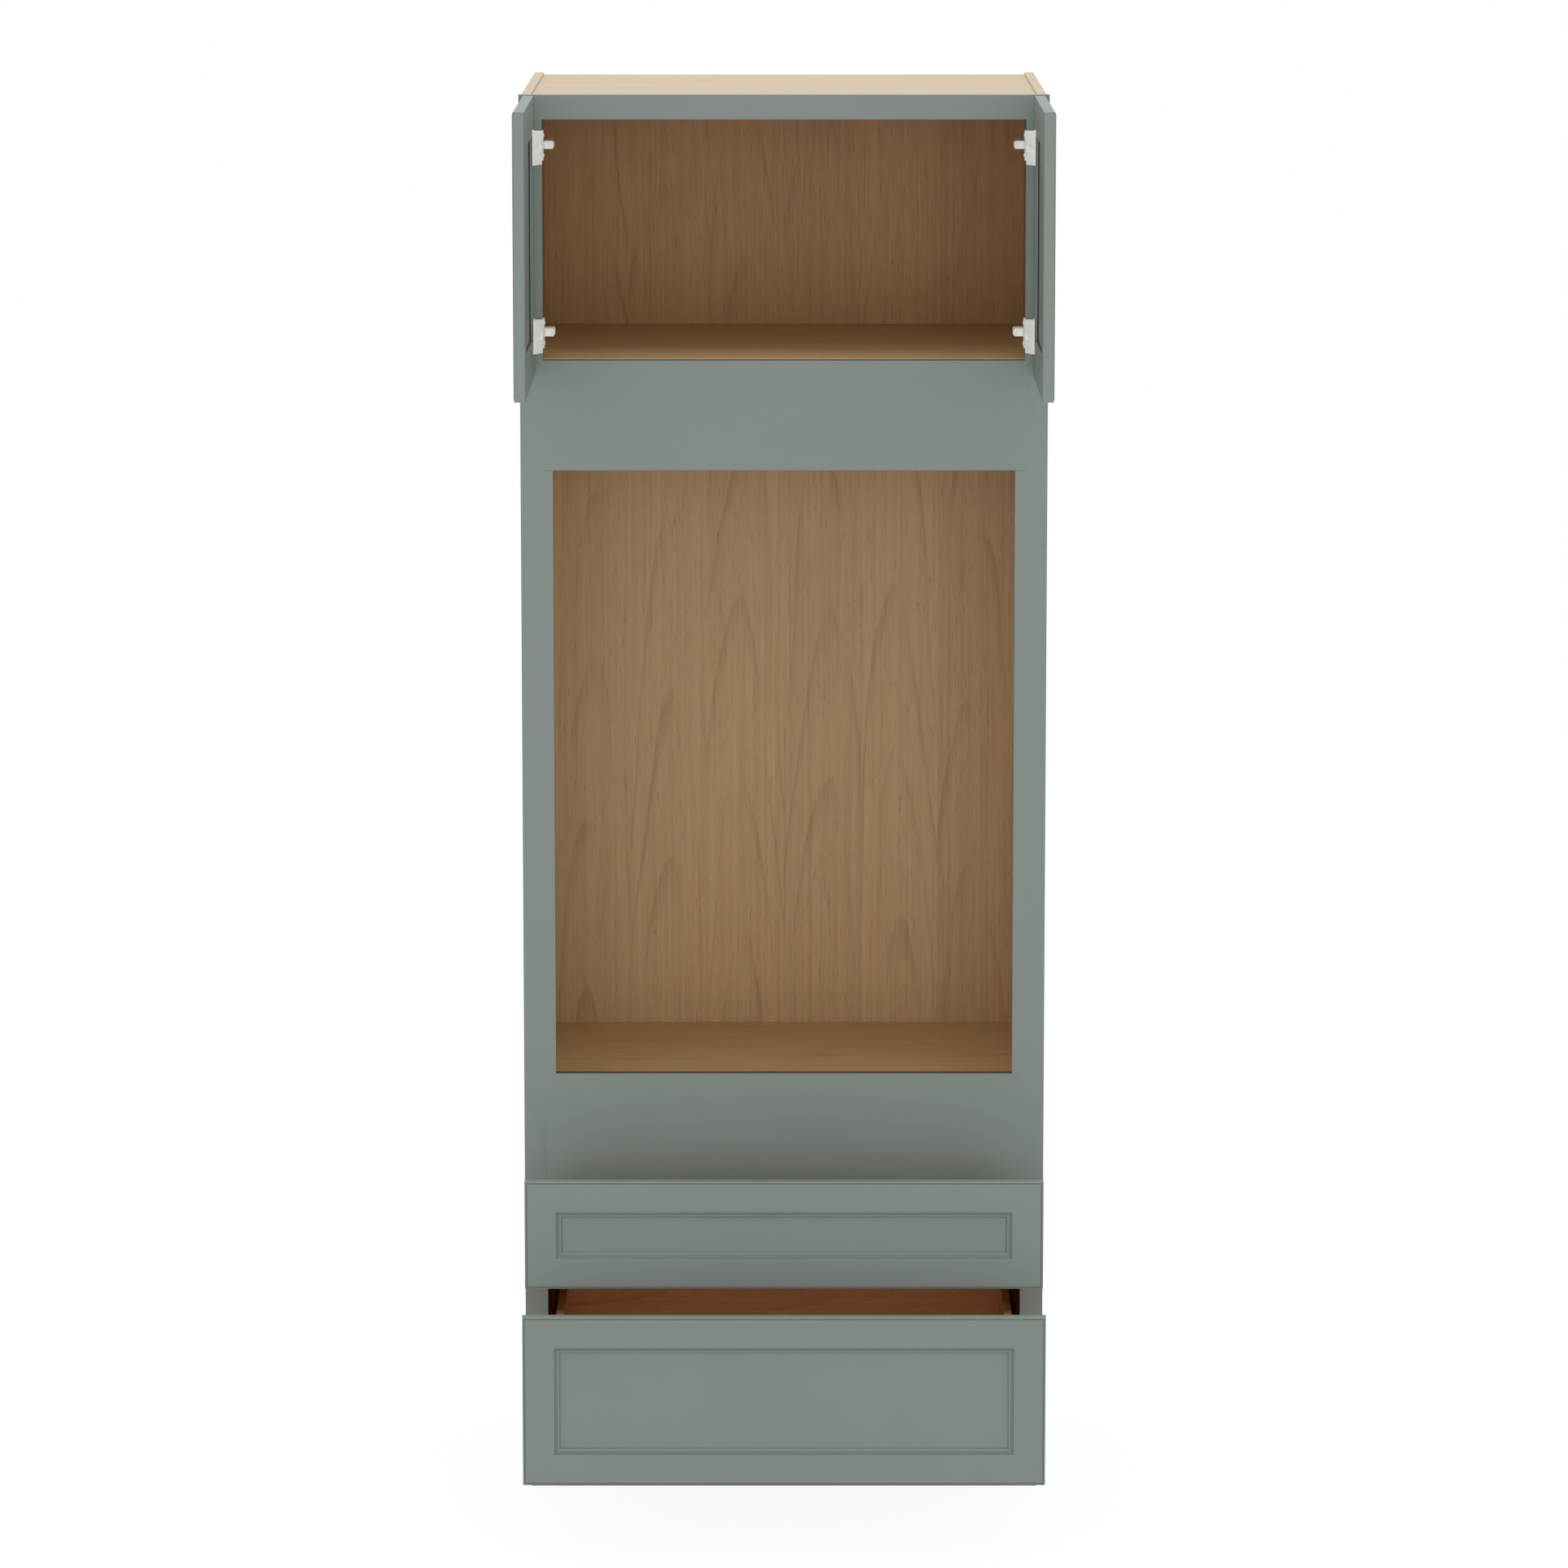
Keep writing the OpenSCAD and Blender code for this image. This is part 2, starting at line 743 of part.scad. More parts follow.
left_side_panel();
right_side_panel();
top_panel();
back_panel();
upper_floor();
oven_deck();
oven_deck_cleats();
bottom_panel();
toe_kick_board();
slide_cleats();
left_stile();
right_stile();
top_rail();
oven_header_rail();
oven_sill_rail();
drawer_rail();
bottom_rail();
left_oven_filler();
right_oven_filler();
left_hinge_arms();
right_hinge_arms();
left_hinge_plates();
right_hinge_plates();
slide_cabinet_members();
upper_slide_middle_members();
lower_slide_middle_members();
left_door_hinge_stile();
left_door_meeting_stile();
left_door_top_rail();
left_door_bottom_rail();
left_door_panel();
left_door_hinge_cups();
right_door_hinge_stile();
right_door_meeting_stile();
right_door_top_rail();
right_door_bottom_rail();
right_door_panel();
right_door_hinge_cups();
upper_front_left_stile();
upper_front_right_stile();
upper_front_top_rail();
upper_front_bottom_rail();
upper_front_panel();
upper_box_left_side();
upper_box_right_side();
upper_box_front();
upper_box_back();
upper_box_bottom();
upper_slide_drawer_members();
lower_front_left_stile();
lower_front_right_stile();
lower_front_top_rail();
lower_front_bottom_rail();
lower_front_panel();
lower_box_left_side();
lower_box_right_side();
lower_box_front();
lower_box_back();
lower_box_bottom();
lower_slide_drawer_members();
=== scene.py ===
import json
import math

import bmesh
import bpy
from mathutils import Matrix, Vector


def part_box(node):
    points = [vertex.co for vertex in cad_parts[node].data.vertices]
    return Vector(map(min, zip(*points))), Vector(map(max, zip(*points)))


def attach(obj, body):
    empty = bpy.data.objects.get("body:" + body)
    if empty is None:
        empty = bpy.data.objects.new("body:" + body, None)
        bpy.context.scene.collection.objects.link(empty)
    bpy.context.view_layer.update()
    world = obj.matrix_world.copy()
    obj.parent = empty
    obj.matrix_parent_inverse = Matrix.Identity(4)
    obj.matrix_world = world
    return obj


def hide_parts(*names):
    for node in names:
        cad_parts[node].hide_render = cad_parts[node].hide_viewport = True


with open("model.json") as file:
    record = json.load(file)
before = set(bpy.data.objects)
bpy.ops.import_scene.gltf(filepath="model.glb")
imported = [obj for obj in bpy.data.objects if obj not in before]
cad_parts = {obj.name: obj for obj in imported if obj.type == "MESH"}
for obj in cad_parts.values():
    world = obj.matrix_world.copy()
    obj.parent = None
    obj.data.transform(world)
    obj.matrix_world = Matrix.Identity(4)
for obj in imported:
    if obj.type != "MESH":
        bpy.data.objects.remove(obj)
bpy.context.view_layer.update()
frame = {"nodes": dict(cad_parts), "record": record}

scene = bpy.context.scene
MM = 0.001


# ---------------------------------------------------------------- places, from the frame

frame_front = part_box("left_stile")[0].y
stile_inner = -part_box("left_stile")[1].x
RAILS = ["bottom_rail", "drawer_rail", "oven_sill_rail", "oven_header_rail", "top_rail"]
rail_edges = sorted({round(corner.z, 6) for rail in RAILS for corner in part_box(rail)})
body_of_node = {node: body for body, nodes in frame["record"]["behaviour"]["bodies"].items()
                for node in nodes}


# ---------------------------------------------------------------- colours and nodes

def hex_colour(code):
    """The linear colour of an sRGB hex value."""
    parts = [int(code[i:i + 2], 16) / 255 for i in (1, 3, 5)]
    linear = [p / 12.92 if p <= 0.04045 else ((p + 0.055) / 1.055) ** 2.4 for p in parts]
    return (*linear, 1.0)


def add(tree, kind, inputs=(), **settings):
    """Adds one node to a tree, with its settings, its input values and its links."""
    node = tree.nodes.new(kind if "Node" in kind else "ShaderNode" + kind)
    for key, value in settings.items():
        setattr(node, key, value)
    for key, value in dict(inputs).items():
        if isinstance(value, bpy.types.Node):
            value = value.outputs[0]
        if isinstance(value, bpy.types.NodeSocket):
            tree.links.new(value, node.inputs[key])
        else:
            node.inputs[key].default_value = value
    return node


def new_material(name):
    """A material with one Principled shader; returns the material, its tree and the shader."""
    material = bpy.data.materials.new(name)
    material.use_nodes = True
    tree = material.node_tree
    tree.nodes.clear()
    shader = add(tree, "BsdfPrincipled")
    add(tree, "OutputMaterial", {"Surface": shader})
    return material, tree, shader


# ---------------------------------------------------------------- camera and studio

EYE_DISTANCE = 10.846   # metres in front of the face frame
EYE_HEIGHT = 2.949      # above the floor
PITCH_DOWN = 9.235      # degrees
LENS = 157.5            # mm, on a sensor 36 mm wide
FILL = 0.76             # the surround as a light
FLOOR_SIZE = 240.0      # reaches the horizon
FLOOR_GLOW = 1.04       # lifts the floor to the backdrop's white
FLOOR_GLOW_SHARE = 0.9  # of the floor as seen; the rest keeps the faint shadow

camera_data = bpy.data.cameras.new("camera")
camera_data.lens = LENS
camera_data.sensor_width = 36
camera_data.clip_end = 500
camera = bpy.data.objects.new("camera", camera_data)
camera.location = (0, frame_front - EYE_DISTANCE, EYE_HEIGHT)
camera.rotation_euler = (math.radians(90 - PITCH_DOWN), 0, 0)
scene.collection.objects.link(camera)
scene.camera = camera
scene.view_settings.view_transform = "Standard"


def soft_studio():
    """A white surround, dimmer as a light than as a backdrop, and two broad area lights."""
    world = bpy.data.worlds.new("white_surround")
    world.use_nodes = True
    tree = world.node_tree
    tree.nodes.clear()
    path = add(tree, "LightPath")
    fill = add(tree, "Background", {"Color": (1, 1, 1, 1), "Strength": FILL})
    backdrop = add(tree, "Background", {"Color": (1, 1, 1, 1), "Strength": 1.0})
    shown = add(tree, "MixShader", {0: path.outputs["Is Camera Ray"], 1: fill, 2: backdrop})
    add(tree, "OutputWorld", {"Surface": shown})
    scene.world = world
    for name, place, size, power, tilt in (
        ("overhead", (0, -0.5, 5.4), 3.6, 80, 0),
        ("front", (0, -9.0, 1.6), 4.5, 114, 88),
    ):
        light = bpy.data.lights.new(name, "AREA")
        light.shape = "SQUARE"
        light.size = size
        light.energy = power
        holder = bpy.data.objects.new(name, light)
        holder.location = place
        holder.rotation_euler = (math.radians(tilt), 0, 0)
        scene.collection.objects.link(holder)


def pale_floor():
    """A plain floor out to the horizon, which isn't part of the cabinet."""
    mesh = bpy.data.meshes.new("floor")
    half = FLOOR_SIZE / 2
    mesh.from_pydata([(-half, -half, 0), (half, -half, 0), (half, half, 0), (-half, half, 0)],
                     [], [(0, 1, 2, 3)])
    floor = bpy.data.objects.new("floor", mesh)
    # White seamless vinyl, lit so that it meets the backdrop: only a faint shadow stays.
    material, tree, shader = new_material("white_seamless_vinyl")
    shader.inputs["Base Color"].default_value = hex_colour("#EAEAE8")
    shader.inputs["Roughness"].default_value = 0.9
    path = add(tree, "LightPath")
    seen = add(tree, "Math", {0: path.outputs["Is Camera Ray"], 1: FLOOR_GLOW_SHARE},
               operation="MULTIPLY")
    lit = add(tree, "Emission", {"Color": (1, 1, 1, 1), "Strength": FLOOR_GLOW})
    both = add(tree, "MixShader", {0: seen, 1: shader, 2: lit})
    tree.links.new(both.outputs[0], tree.nodes["Material Output"].inputs["Surface"])
    mesh.materials.append(material)
    scene.collection.objects.link(floor)


soft_studio()
pale_floor()


# ---------------------------------------------------------------- materials

SAGE = ("#7B8681", "#818C87")
# painted shade: the dark colour given to the rail tops inside the openings, where shadow falls
PAINTED_SHADE_LINE = "#4B4A40"


def satin_lacquer_paint(name, painted_shade_top=None):
    """Sage conversion lacquer sprayed on maple: even colour, low sheen, faint orange peel.
    The upward level face at the height painted_shade_top is painted dark: painted shade, which
    reads as a dark shadow line."""
    material, tree, shader = new_material(name)
    coords = add(tree, "TexCoord")
    place = coords.outputs["Object"]
    # coats vary a little over a hand's width
    cloud = add(tree, "TexNoise", {"Vector": place, "Scale": 6.0, "Detail": 2.0})
    # orange peel: soft dimples about 2 mm apart
    peel = add(tree, "TexNoise", {"Vector": place, "Scale": 480.0, "Detail": 1.5})
    colour = add(tree, "Mix", {0: cloud, 6: hex_colour(SAGE[0]), 7: hex_colour(SAGE[1])},
                 data_type="RGBA")
    shown = colour.outputs[2]
    # painted shade: the level top face at that height is coloured dark, as if in shadow
    if painted_shade_top:
        level = add(tree, "SeparateXYZ", {0: coords.outputs["Normal"]}).outputs["Z"]
        height = add(tree, "SeparateXYZ", {0: place}).outputs["Z"]
        up = add(tree, "Math", {0: level, 1: 0.9}, operation="GREATER_THAN")
        top = add(tree, "Math", {0: height, 1: painted_shade_top, 2: 0.1 * MM}, operation="COMPARE")
        both = add(tree, "Math", {0: up, 1: top}, operation="MULTIPLY")
        shown = add(tree, "Mix", {0: both, 6: shown, 7: hex_colour(PAINTED_SHADE_LINE)},
                    data_type="RGBA").outputs[2]
    tree.links.new(shown, shader.inputs["Base Color"])
    rough = add(tree, "MapRange", {"Value": cloud, 1: 0.3, 2: 0.7, 3: 0.42, 4: 0.50})
    tree.links.new(rough.outputs[0], shader.inputs["Roughness"])
    bump = add(tree, "Bump", {"Height": peel, "Strength": 0.2, "Distance": 0.03 * MM})
    tree.links.new(bump.outputs[0], shader.inputs["Normal"])
    return material


# pale and dark tones of each wood
MAPLE = ("#DAB685", "#865726")          # back panel and toe board
SHELF_MAPLE = ("#E2BE8C", "#8F5F2B")    # floors and deck
CLEAR_MAPLE = ("#C9B69B", "#9A7E5E")    # sides and top
BOX_MAPLE = ("#FCC78C", "#BE7A40")      # drawer boxes and cleats
PAINTED_SHADE_TINT = "#F8E4BC"      # warmer tint of the painted shade on the back inside the upper compartment
PAINTED_SHADE_DEPTH = 0.08     # and how much darker the painted shade is
RING_PITCH = 12 * MM      # between the growth lines that show in the log
RING_WAVER = 1.8 * MM
HEART_SWAY = 22 * MM      # of the log's heart, to each side of a leaf's middle
CLIMB = 0.042             # of the slice through the rings, along its length
PLY = 1.5 * MM


def sliced_wood(name, pale, dark, along, wide, leaf=0.19, plies=True, seed=0, painted_shade_above=None):
    """Plain-sliced maple under clear lacquer: faint nested cathedral lines in each leaf of
    veneer, fine fibres and flecks, a satin sheen. along and wide are the axes of the grain and
    of the board's width. Above a given height the inner face is painted darker and warmer: painted
    shade."""
    material, tree, shader = new_material(name)
    coords = add(tree, "TexCoord")
    place = add(tree, "SeparateXYZ", {0: coords.outputs["Object"]})
    facing = add(tree, "SeparateXYZ", {0: coords.outputs["Normal"]})
    thin = ({"X", "Y", "Z"} - {along, wide}).pop()
    length = place.outputs[along]

    def grain_pattern(scale_along, scale_across, detail):
        """Soft streaks along the grain, that many to the metre each way."""
        stretch = [scale_along if axis == along else scale_across for axis in "XYZ"]
        moved = add(tree, "VectorMath", {0: coords.outputs["Object"], 1: stretch},
                    operation="MULTIPLY")
        return add(tree, "TexNoise", {"Vector": moved, "Scale": 1.0, "Detail": detail})

    # which leaf of veneer, and how far across it
    leaves = add(tree, "Math", {0: place.outputs[wide], 1: leaf}, operation="DIVIDE")
    leaf_no = add(tree, "Math", {0: leaves}, operation="FLOOR")
    in_leaf = add(tree, "Math", {0: leaves, 1: leaf_no}, operation="SUBTRACT")
    off_middle = add(tree, "Math", {0: in_leaf, 1: 0.5}, operation="SUBTRACT")
    across = add(tree, "Math", {0: off_middle, 1: leaf}, operation="MULTIPLY")
    chance = add(tree, "TexWhiteNoise", {"W": leaf_no}, noise_dimensions="1D")
    # the heart of the log wanders along its length
    own = add(tree, "Math", {0: chance, 1: 37.0 + seed}, operation="MULTIPLY")
    walk = add(tree, "CombineXYZ", {0: length, 1: own, 2: float(seed)})
    sway = add(tree, "TexNoise", {"Vector": walk, "Scale": 1.3, "Detail": 1.0})
    heart = add(tree, "MapRange", {"Value": sway, 1: 0.2, 2: 0.8, 3: -HEART_SWAY, 4: HEART_SWAY})
    from_heart = add(tree, "Math", {0: across, 1: heart}, operation="SUBTRACT")
    # the slice climbs through the rings
    climb = add(tree, "Math", {0: length, 1: CLIMB, 2: 0.05}, operation="MULTIPLY_ADD")
    start = add(tree, "Math", {0: chance, 1: 0.06, 2: climb}, operation="MULTIPLY_ADD")
    flat_place = add(tree, "CombineXYZ", {0: from_heart, 1: start, 2: 0.0})
    radius = add(tree, "VectorMath", {0: flat_place}, operation="LENGTH").outputs["Value"]
    # growth lines that waver, and come and go
    waver = grain_pattern(6.0, 60.0, 3.0)
    wavered = add(tree, "Math", {0: waver, 1: RING_WAVER, 2: radius}, operation="MULTIPLY_ADD")
    rings = add(tree, "Math", {0: wavered, 1: RING_PITCH}, operation="DIVIDE")
    in_ring = add(tree, "Math", {0: rings}, operation="FRACT")
    rise = add(tree, "MapRange", {"Value": in_ring, 1: 0.70, 2: 0.94, 3: 0.0, 4: 1.0})
    fall = add(tree, "MapRange", {"Value": in_ring, 1: 0.97, 2: 1.0, 3: 1.0, 4: 0.0})
    line = add(tree, "Math", {0: rise, 1: fall}, operation="MULTIPLY")
    fade = grain_pattern(2.2, 16.0, 1.0)
    faded = add(tree, "MapRange", {"Value": fade, 1: 0.42, 2: 0.66, 3: 0.0, 4: 0.20})
    lines = add(tree, "Math", {0: line, 1: faded}, operation="MULTIPLY")
    # streaks a few millimetres wide, short dark flecks, and fibres about a millimetre wide:
    # real fibres are finer, and these are as coarse as they need to be to show
    streak = grain_pattern(1.6, 150.0, 3.0)
    fibre = grain_pattern(14.0, 900.0, 2.0)
    fleck = grain_pattern(40.0, 700.0, 0.0)
    flecks = add(tree, "MapRange", {"Value": fleck, 1: 0.72, 2: 0.84, 3: 0.0, 4: 0.30})
    tone = add(tree, "Math", {0: chance, 1: 0.10, 2: -0.08}, operation="MULTIPLY_ADD")
    streaked = add(tree, "Math", {0: streak, 1: 0.40, 2: tone}, operation="MULTIPLY_ADD")
    fibred = add(tree, "Math", {0: fibre, 1: 0.30, 2: streaked}, operation="MULTIPLY_ADD")
    lined = add(tree, "Math", {0: fibred, 1: lines}, operation="ADD")
    # painted shade: the back's inner face above the upper floor, inside the shaded upper
    # compartment, is made darker
    if painted_shade_above:
        upper = add(tree, "Math", {0: place.outputs["Z"], 1: painted_shade_above}, operation="GREATER_THAN")
        inner = add(tree, "Math", {0: facing.outputs["Y"], 1: -0.5}, operation="LESS_THAN")
        painted_shade_mask = add(tree, "Math", {0: upper, 1: inner}, operation="MULTIPLY")
        lined = add(tree, "Math", {0: painted_shade_mask, 1: PAINTED_SHADE_DEPTH, 2: lined},
                    operation="MULTIPLY_ADD")
    depth = add(tree, "Math", {0: lined, 1: flecks}, operation="ADD", use_clamp=True)
    face = add(tree, "Mix", {0: depth, 6: hex_colour(pale), 7: hex_colour(dark)}, data_type="RGBA")
    colour = face.outputs[2]
    # and the painted shade's warmer tint
    if painted_shade_above:
        colour = add(tree, "Mix", {0: painted_shade_mask, 6: colour, 7: hex_colour(PAINTED_SHADE_TINT)},
                     data_type="RGBA", blend_type="MULTIPLY").outputs[2]
    if plies:
        # the edge of the sheet shows its plies, in turn end and long grain
        stack = add(tree, "Math", {0: place.outputs[thin], 1: 2 * PLY}, operation="DIVIDE")
        turn = add(tree, "Math", {0: stack}, operation="FRACT")
        ply = add(tree, "MapRange", {"Value": turn, 1: 0.44, 2: 0.56, 3: 0.12, 4: 0.42})
        sheet = add(tree, "Mix", {0: ply, 6: hex_colour(pale), 7: hex_colour(dark)},
                    data_type="RGBA")
        square = add(tree, "Math", {0: facing.outputs[thin]}, operation="ABSOLUTE")
        edge = add(tree, "Math", {0: square, 1: 0.5}, operation="LESS_THAN")
        colour = add(tree, "Mix", {0: edge, 6: colour, 7: sheet.outputs[2]},
                     data_type="RGBA").outputs[2]
    tree.links.new(colour, shader.inputs["Base Color"])
    rough = add(tree, "MapRange", {"Value": fibre, 1: 0.3, 2: 0.7, 3: 0.40, 4: 0.54})
    tree.links.new(rough.outputs[0], shader.inputs["Roughness"])
    bump = add(tree, "Bump", {"Height": fibre, "Strength": 0.2, "Distance": 0.03 * MM})
    tree.links.new(bump.outputs[0], shader.inputs["Normal"])
    return material


def plated_steel(name, low, high, along, roughness, metallic):
    """Plated sheet steel: draw lines along the part and soft clouding of the plating. The lines
    are about half a millimetre apart, coarser than real ones, so that they show."""
    material, tree, shader = new_material(name)
    place = add(tree, "TexCoord").outputs["Object"]
    stretch = [40.0 if axis == along else 1800.0 for axis in "XYZ"]
    drawn = add(tree, "VectorMath", {0: place, 1: stretch}, operation="MULTIPLY")
    lines = add(tree, "TexNoise", {"Vector": drawn, "Scale": 1.0, "Detail": 1.0})
    cloud = add(tree, "TexNoise", {"Vector": place, "Scale": 55.0, "Detail": 2.0})
    tone = add(tree, "Mix", {0: cloud, 6: hex_colour(low), 7: hex_colour(high)}, data_type="RGBA")
    tree.links.new(tone.outputs[2], shader.inputs["Base Color"])
    rough = add(tree, "MapRange", {"Value": lines, 1: 0.3, 2: 0.7,
                                   3: roughness - 0.06, 4: roughness + 0.06})
    tree.links.new(rough.outputs[0], shader.inputs["Roughness"])
    shader.inputs["Metallic"].default_value = metallic
    bump = add(tree, "Bump", {"Height": lines, "Strength": 0.15, "Distance": 0.02 * MM})
    tree.links.new(bump.outputs[0], shader.inputs["Normal"])
    return material


paint = satin_lacquer_paint("sprayed_sage_conversion_lacquer")
# the sill and header rails carry painted shade along their top faces inside the openings
paint_with_shade_line = {rail: satin_lacquer_paint("sprayed_sage_lacquer_" + rail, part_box(rail)[1].z)
                for rail in ("oven_sill_rail", "oven_header_rail")}
# Maple veneer on plywood, sliced from the log in leaves: warm inside, paler on the outside.
# the back panel's inner face above the upper floor gets painted shade, darker and warmer
wood_back = sliced_wood("maple_veneer_back", *MAPLE, "Z", "X", leaf=0.13,
                        painted_shade_above=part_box("upper_floor")[0].z)
wood_side = sliced_wood("maple_veneer_sides", *CLEAR_MAPLE, "Z", "Y", leaf=0.19, seed=5)
wood_shelf = sliced_wood("maple_veneer_shelves", *SHELF_MAPLE, "X", "Y", leaf=0.19, seed=9)
wood_toe = sliced_wood("maple_veneer_toe_board", *MAPLE, "X", "Z", leaf=0.13, seed=12)
wood_top = sliced_wood("maple_veneer_top", *CLEAR_MAPLE, "X", "Y", leaf=0.21, seed=2)
# Solid maple drawer boards and their ply bottoms under amber lacquer, so deeper in colour.
box_length = sliced_wood("drawer_maple_sides", *BOX_MAPLE, "Y", "Z", 0.12, plies=False, seed=3)
box_width = sliced_wood("drawer_maple_ends", *BOX_MAPLE, "X", "Z", 0.12, plies=False, seed=4)
box_sheet = sliced_wood("drawer_bottom_maple_ply", *BOX_MAPLE, "X", "Y", 0.2, seed=6)
# Bright zinc plate: greyish, with the lines of roll forming along each slide.
zinc = plated_steel("bright_zinc_plated_rolled_steel", "#AEB3B6", "#C4C8CA", "Y", 0.36, 1.0)
# Matt nickel under clear lacquer: the lacquer scatters light, so it reads nearly white.
nickel = plated_steel("matt_nickel_plated_pressed_steel", "#F1F2EF", "#FAFAF8", "Z", 0.50, 0.06)


# ---------------------------------------------------------------- CAD pieces with worked edges

def finish_of(node):
    """A node's finish: its material, its record slot and the width of its eased edges in mm."""
    if "cleats" in node:
        return box_length, "birch_ply_and_boards", 0.8
    if "hinge_arms" in node or "hinge_plates" in node or "hinge_cups" in node:
        return nickel, "nickel_plated_steel", 0.3
    if "slide" in node:
        return zinc, "zinc_plated_steel", 0.35
    if "_box_" in node:
        wood = box_length if "side" in node else box_sheet if "bottom" in node else box_width
        return wood, "birch_ply_and_boards", 0 if "bottom" in node else 1.2
    if "side_panel" in node:
        return wood_side, "maple_veneered_plywood", 0.5
    if node in ("top_panel", "back_panel", "upper_floor", "oven_deck", "bottom_panel",
                "toe_kick_board"):
        wood = {"top_panel": wood_top, "back_panel": wood_back,
                "toe_kick_board": wood_toe}.get(node, wood_shelf)
        return wood, "maple_veneered_plywood", 0.5
    moulded = "door" in node or "front" in node
    return paint_with_shade_line.get(node, paint), "sage_painted_maple", 0 if moulded else 0.8


SMOOTH_BELOW = math.radians(34)   # a mesh edge that turns less belongs to a curve
CORNER_ABOVE = math.radians(50)   # and one that turns more is a corner
FLAT_WITHIN = math.radians(0.4)   # one flat face
MERGE_WITHIN = 0.001 * MM
FEEL = 0.3 * MM                   # out from an edge's faces, to find a neighbour
STEEL = ("hinge_", "slide_cabinet", "slide_middle", "slide_drawer")


def holds(box, point, reach=0.05 * MM):
    """True where a point is in a box or just outside it."""
    low, high = box
    return all(low[i] - reach < point[i] < high[i] + reach for i in range(3))


def worked_copy(node, neighbours):
    """A merged copy of a CAD node: flat faces whole, curves smooth, and every open edge eased.
    An edge that lies flush against a neighbour stays sharp, so that a joint stays closed."""
    material, slot, ease = finish_of(node)
    source = frame["nodes"][node].data
    bm = bmesh.new()
    corners = [bm.verts.new(v.co) for v in source.vertices]
    for face in source.polygons:
        bm.faces.new([corners[i] for i in face.vertices])
    bmesh.ops.remove_doubles(bm, verts=bm.verts[:], dist=MERGE_WITHIN)
    bmesh.ops.dissolve_limit(bm, angle_limit=FLAT_WITHIN, verts=bm.verts[:], edges=bm.edges[:])
    if node in ("left_stile", "right_stile"):
        # rails cover parts of the stile's inner corner, so it is cut at their edges
        for z in rail_edges[1:-1]:
            bmesh.ops.bisect_plane(bm, geom=bm.verts[:] + bm.edges[:] + bm.faces[:],
                                   plane_co=(0, 0, z), plane_no=(0, 0, 1))
    weight = bm.edges.layers.float.new("bevel_weight_edge")
    for face in bm.faces:
        face.smooth = True
    for edge in bm.edges:
        if len(edge.link_faces) != 2:
            continue
        turn = edge.calc_face_angle(0)
        edge.smooth = turn < SMOOTH_BELOW
        middle = (edge.verts[0].co + edge.verts[1].co) / 2
        touching = any(holds(box, middle + face.normal * FEEL)
                       for face in edge.link_faces for box in neighbours)
        if ease and turn > CORNER_ABOVE and edge.is_convex and not touching:
            edge[weight] = 1.0
            edge.smooth = True
    mesh = bpy.data.meshes.new(node + "_worked")
    bm.to_mesh(mesh)
    bm.free()
    mesh.materials.append(material)
    piece = bpy.data.objects.new(node + "_worked", mesh)
    scene.collection.objects.link(piece)
    if ease:
        bevel = piece.modifiers.new("eased_edges", "BEVEL")
        bevel.limit_method = "WEIGHT"
        bevel.width = ease * MM
        bevel.segments = 2 if "plated" in slot else 3
        bevel.use_clamp_overlap = True
    piece.modifiers.new("flat_faces_shade_flat", "WEIGHTED_NORMAL").keep_sharp = True
    settle(piece)
    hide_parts(node)
    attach(piece, body_of_node[node])


def settle(piece):
    """Turns a piece and its modifiers into one plain mesh."""
    seen = piece.evaluated_get(bpy.context.evaluated_depsgraph_get())
    mesh = bpy.data.meshes.new_from_object(seen)
    mesh.name = piece.name
    piece.modifiers.clear()
    piece.data = mesh


boxes = {node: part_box(node) for node in frame["nodes"]}
for node, part in list(frame["nodes"].items()):
    part.data.materials.clear()
    part.data.materials.append(finish_of(node)[0])
    # steel fittings are eased all round, and no other edge stays sharp because of one
    hard = any(word in node for word in STEEL)
    near = [box for other, box in boxes.items()
            if other != node and not hard and body_of_node[other] == body_of_node[node]
            and not any(word in other for word in STEEL)]
    worked_copy(node, near)


# ---------------------------------------------------------------- screws and balls

def fittings_tree():
    """Geometry Nodes that set a fitting on every point, facing along the point's direction."""
    tree = bpy.data.node_groups.new("fittings_at_points", "GeometryNodeTree")
    for name, way, kind in (
        ("Places", "INPUT", "NodeSocketGeometry"), ("Fitting", "INPUT", "NodeSocketObject"),
        ("Finish", "INPUT", "NodeSocketMaterial"), ("Seed", "INPUT", "NodeSocketInt"),
        ("Fittings", "OUTPUT", "NodeSocketGeometry"),
    ):
        tree.interface.new_socket(name, in_out=way, socket_type=kind)
    given = add(tree, "NodeGroupInput")
    unit = add(tree, "GeometryNodeObjectInfo", {"Object": given.outputs["Fitting"]})
    towards = add(tree, "GeometryNodeInputNamedAttribute", {"Name": "towards"},
                  data_type="FLOAT_VECTOR")
    facing = add(tree, "FunctionNodeAlignRotationToVector", {"Vector": towards}, axis="Z")
    chance = add(tree, "FunctionNodeRandomValue", {"Seed": given.outputs["Seed"], 3: math.pi},
                 data_type="FLOAT")
    spin = add(tree, "FunctionNodeAxisAngleToRotation", {"Axis": (0, 0, 1),
                                                         "Angle": chance.outputs[1]})
    turned = add(tree, "FunctionNodeRotateRotation", {0: facing, 1: spin}, rotation_space="LOCAL")
    placed = add(tree, "GeometryNodeInstanceOnPoints", {
        "Points": given.outputs["Places"], "Instance": unit.outputs["Geometry"],
        "Rotation": turned})
    real = add(tree, "GeometryNodeRealizeInstances", {0: placed})
    finished = add(tree, "GeometryNodeSetMaterial", {"Geometry": real,
                                                     "Material": given.outputs["Finish"]})
    add(tree, "NodeGroupOutput", {0: finished})
    return tree


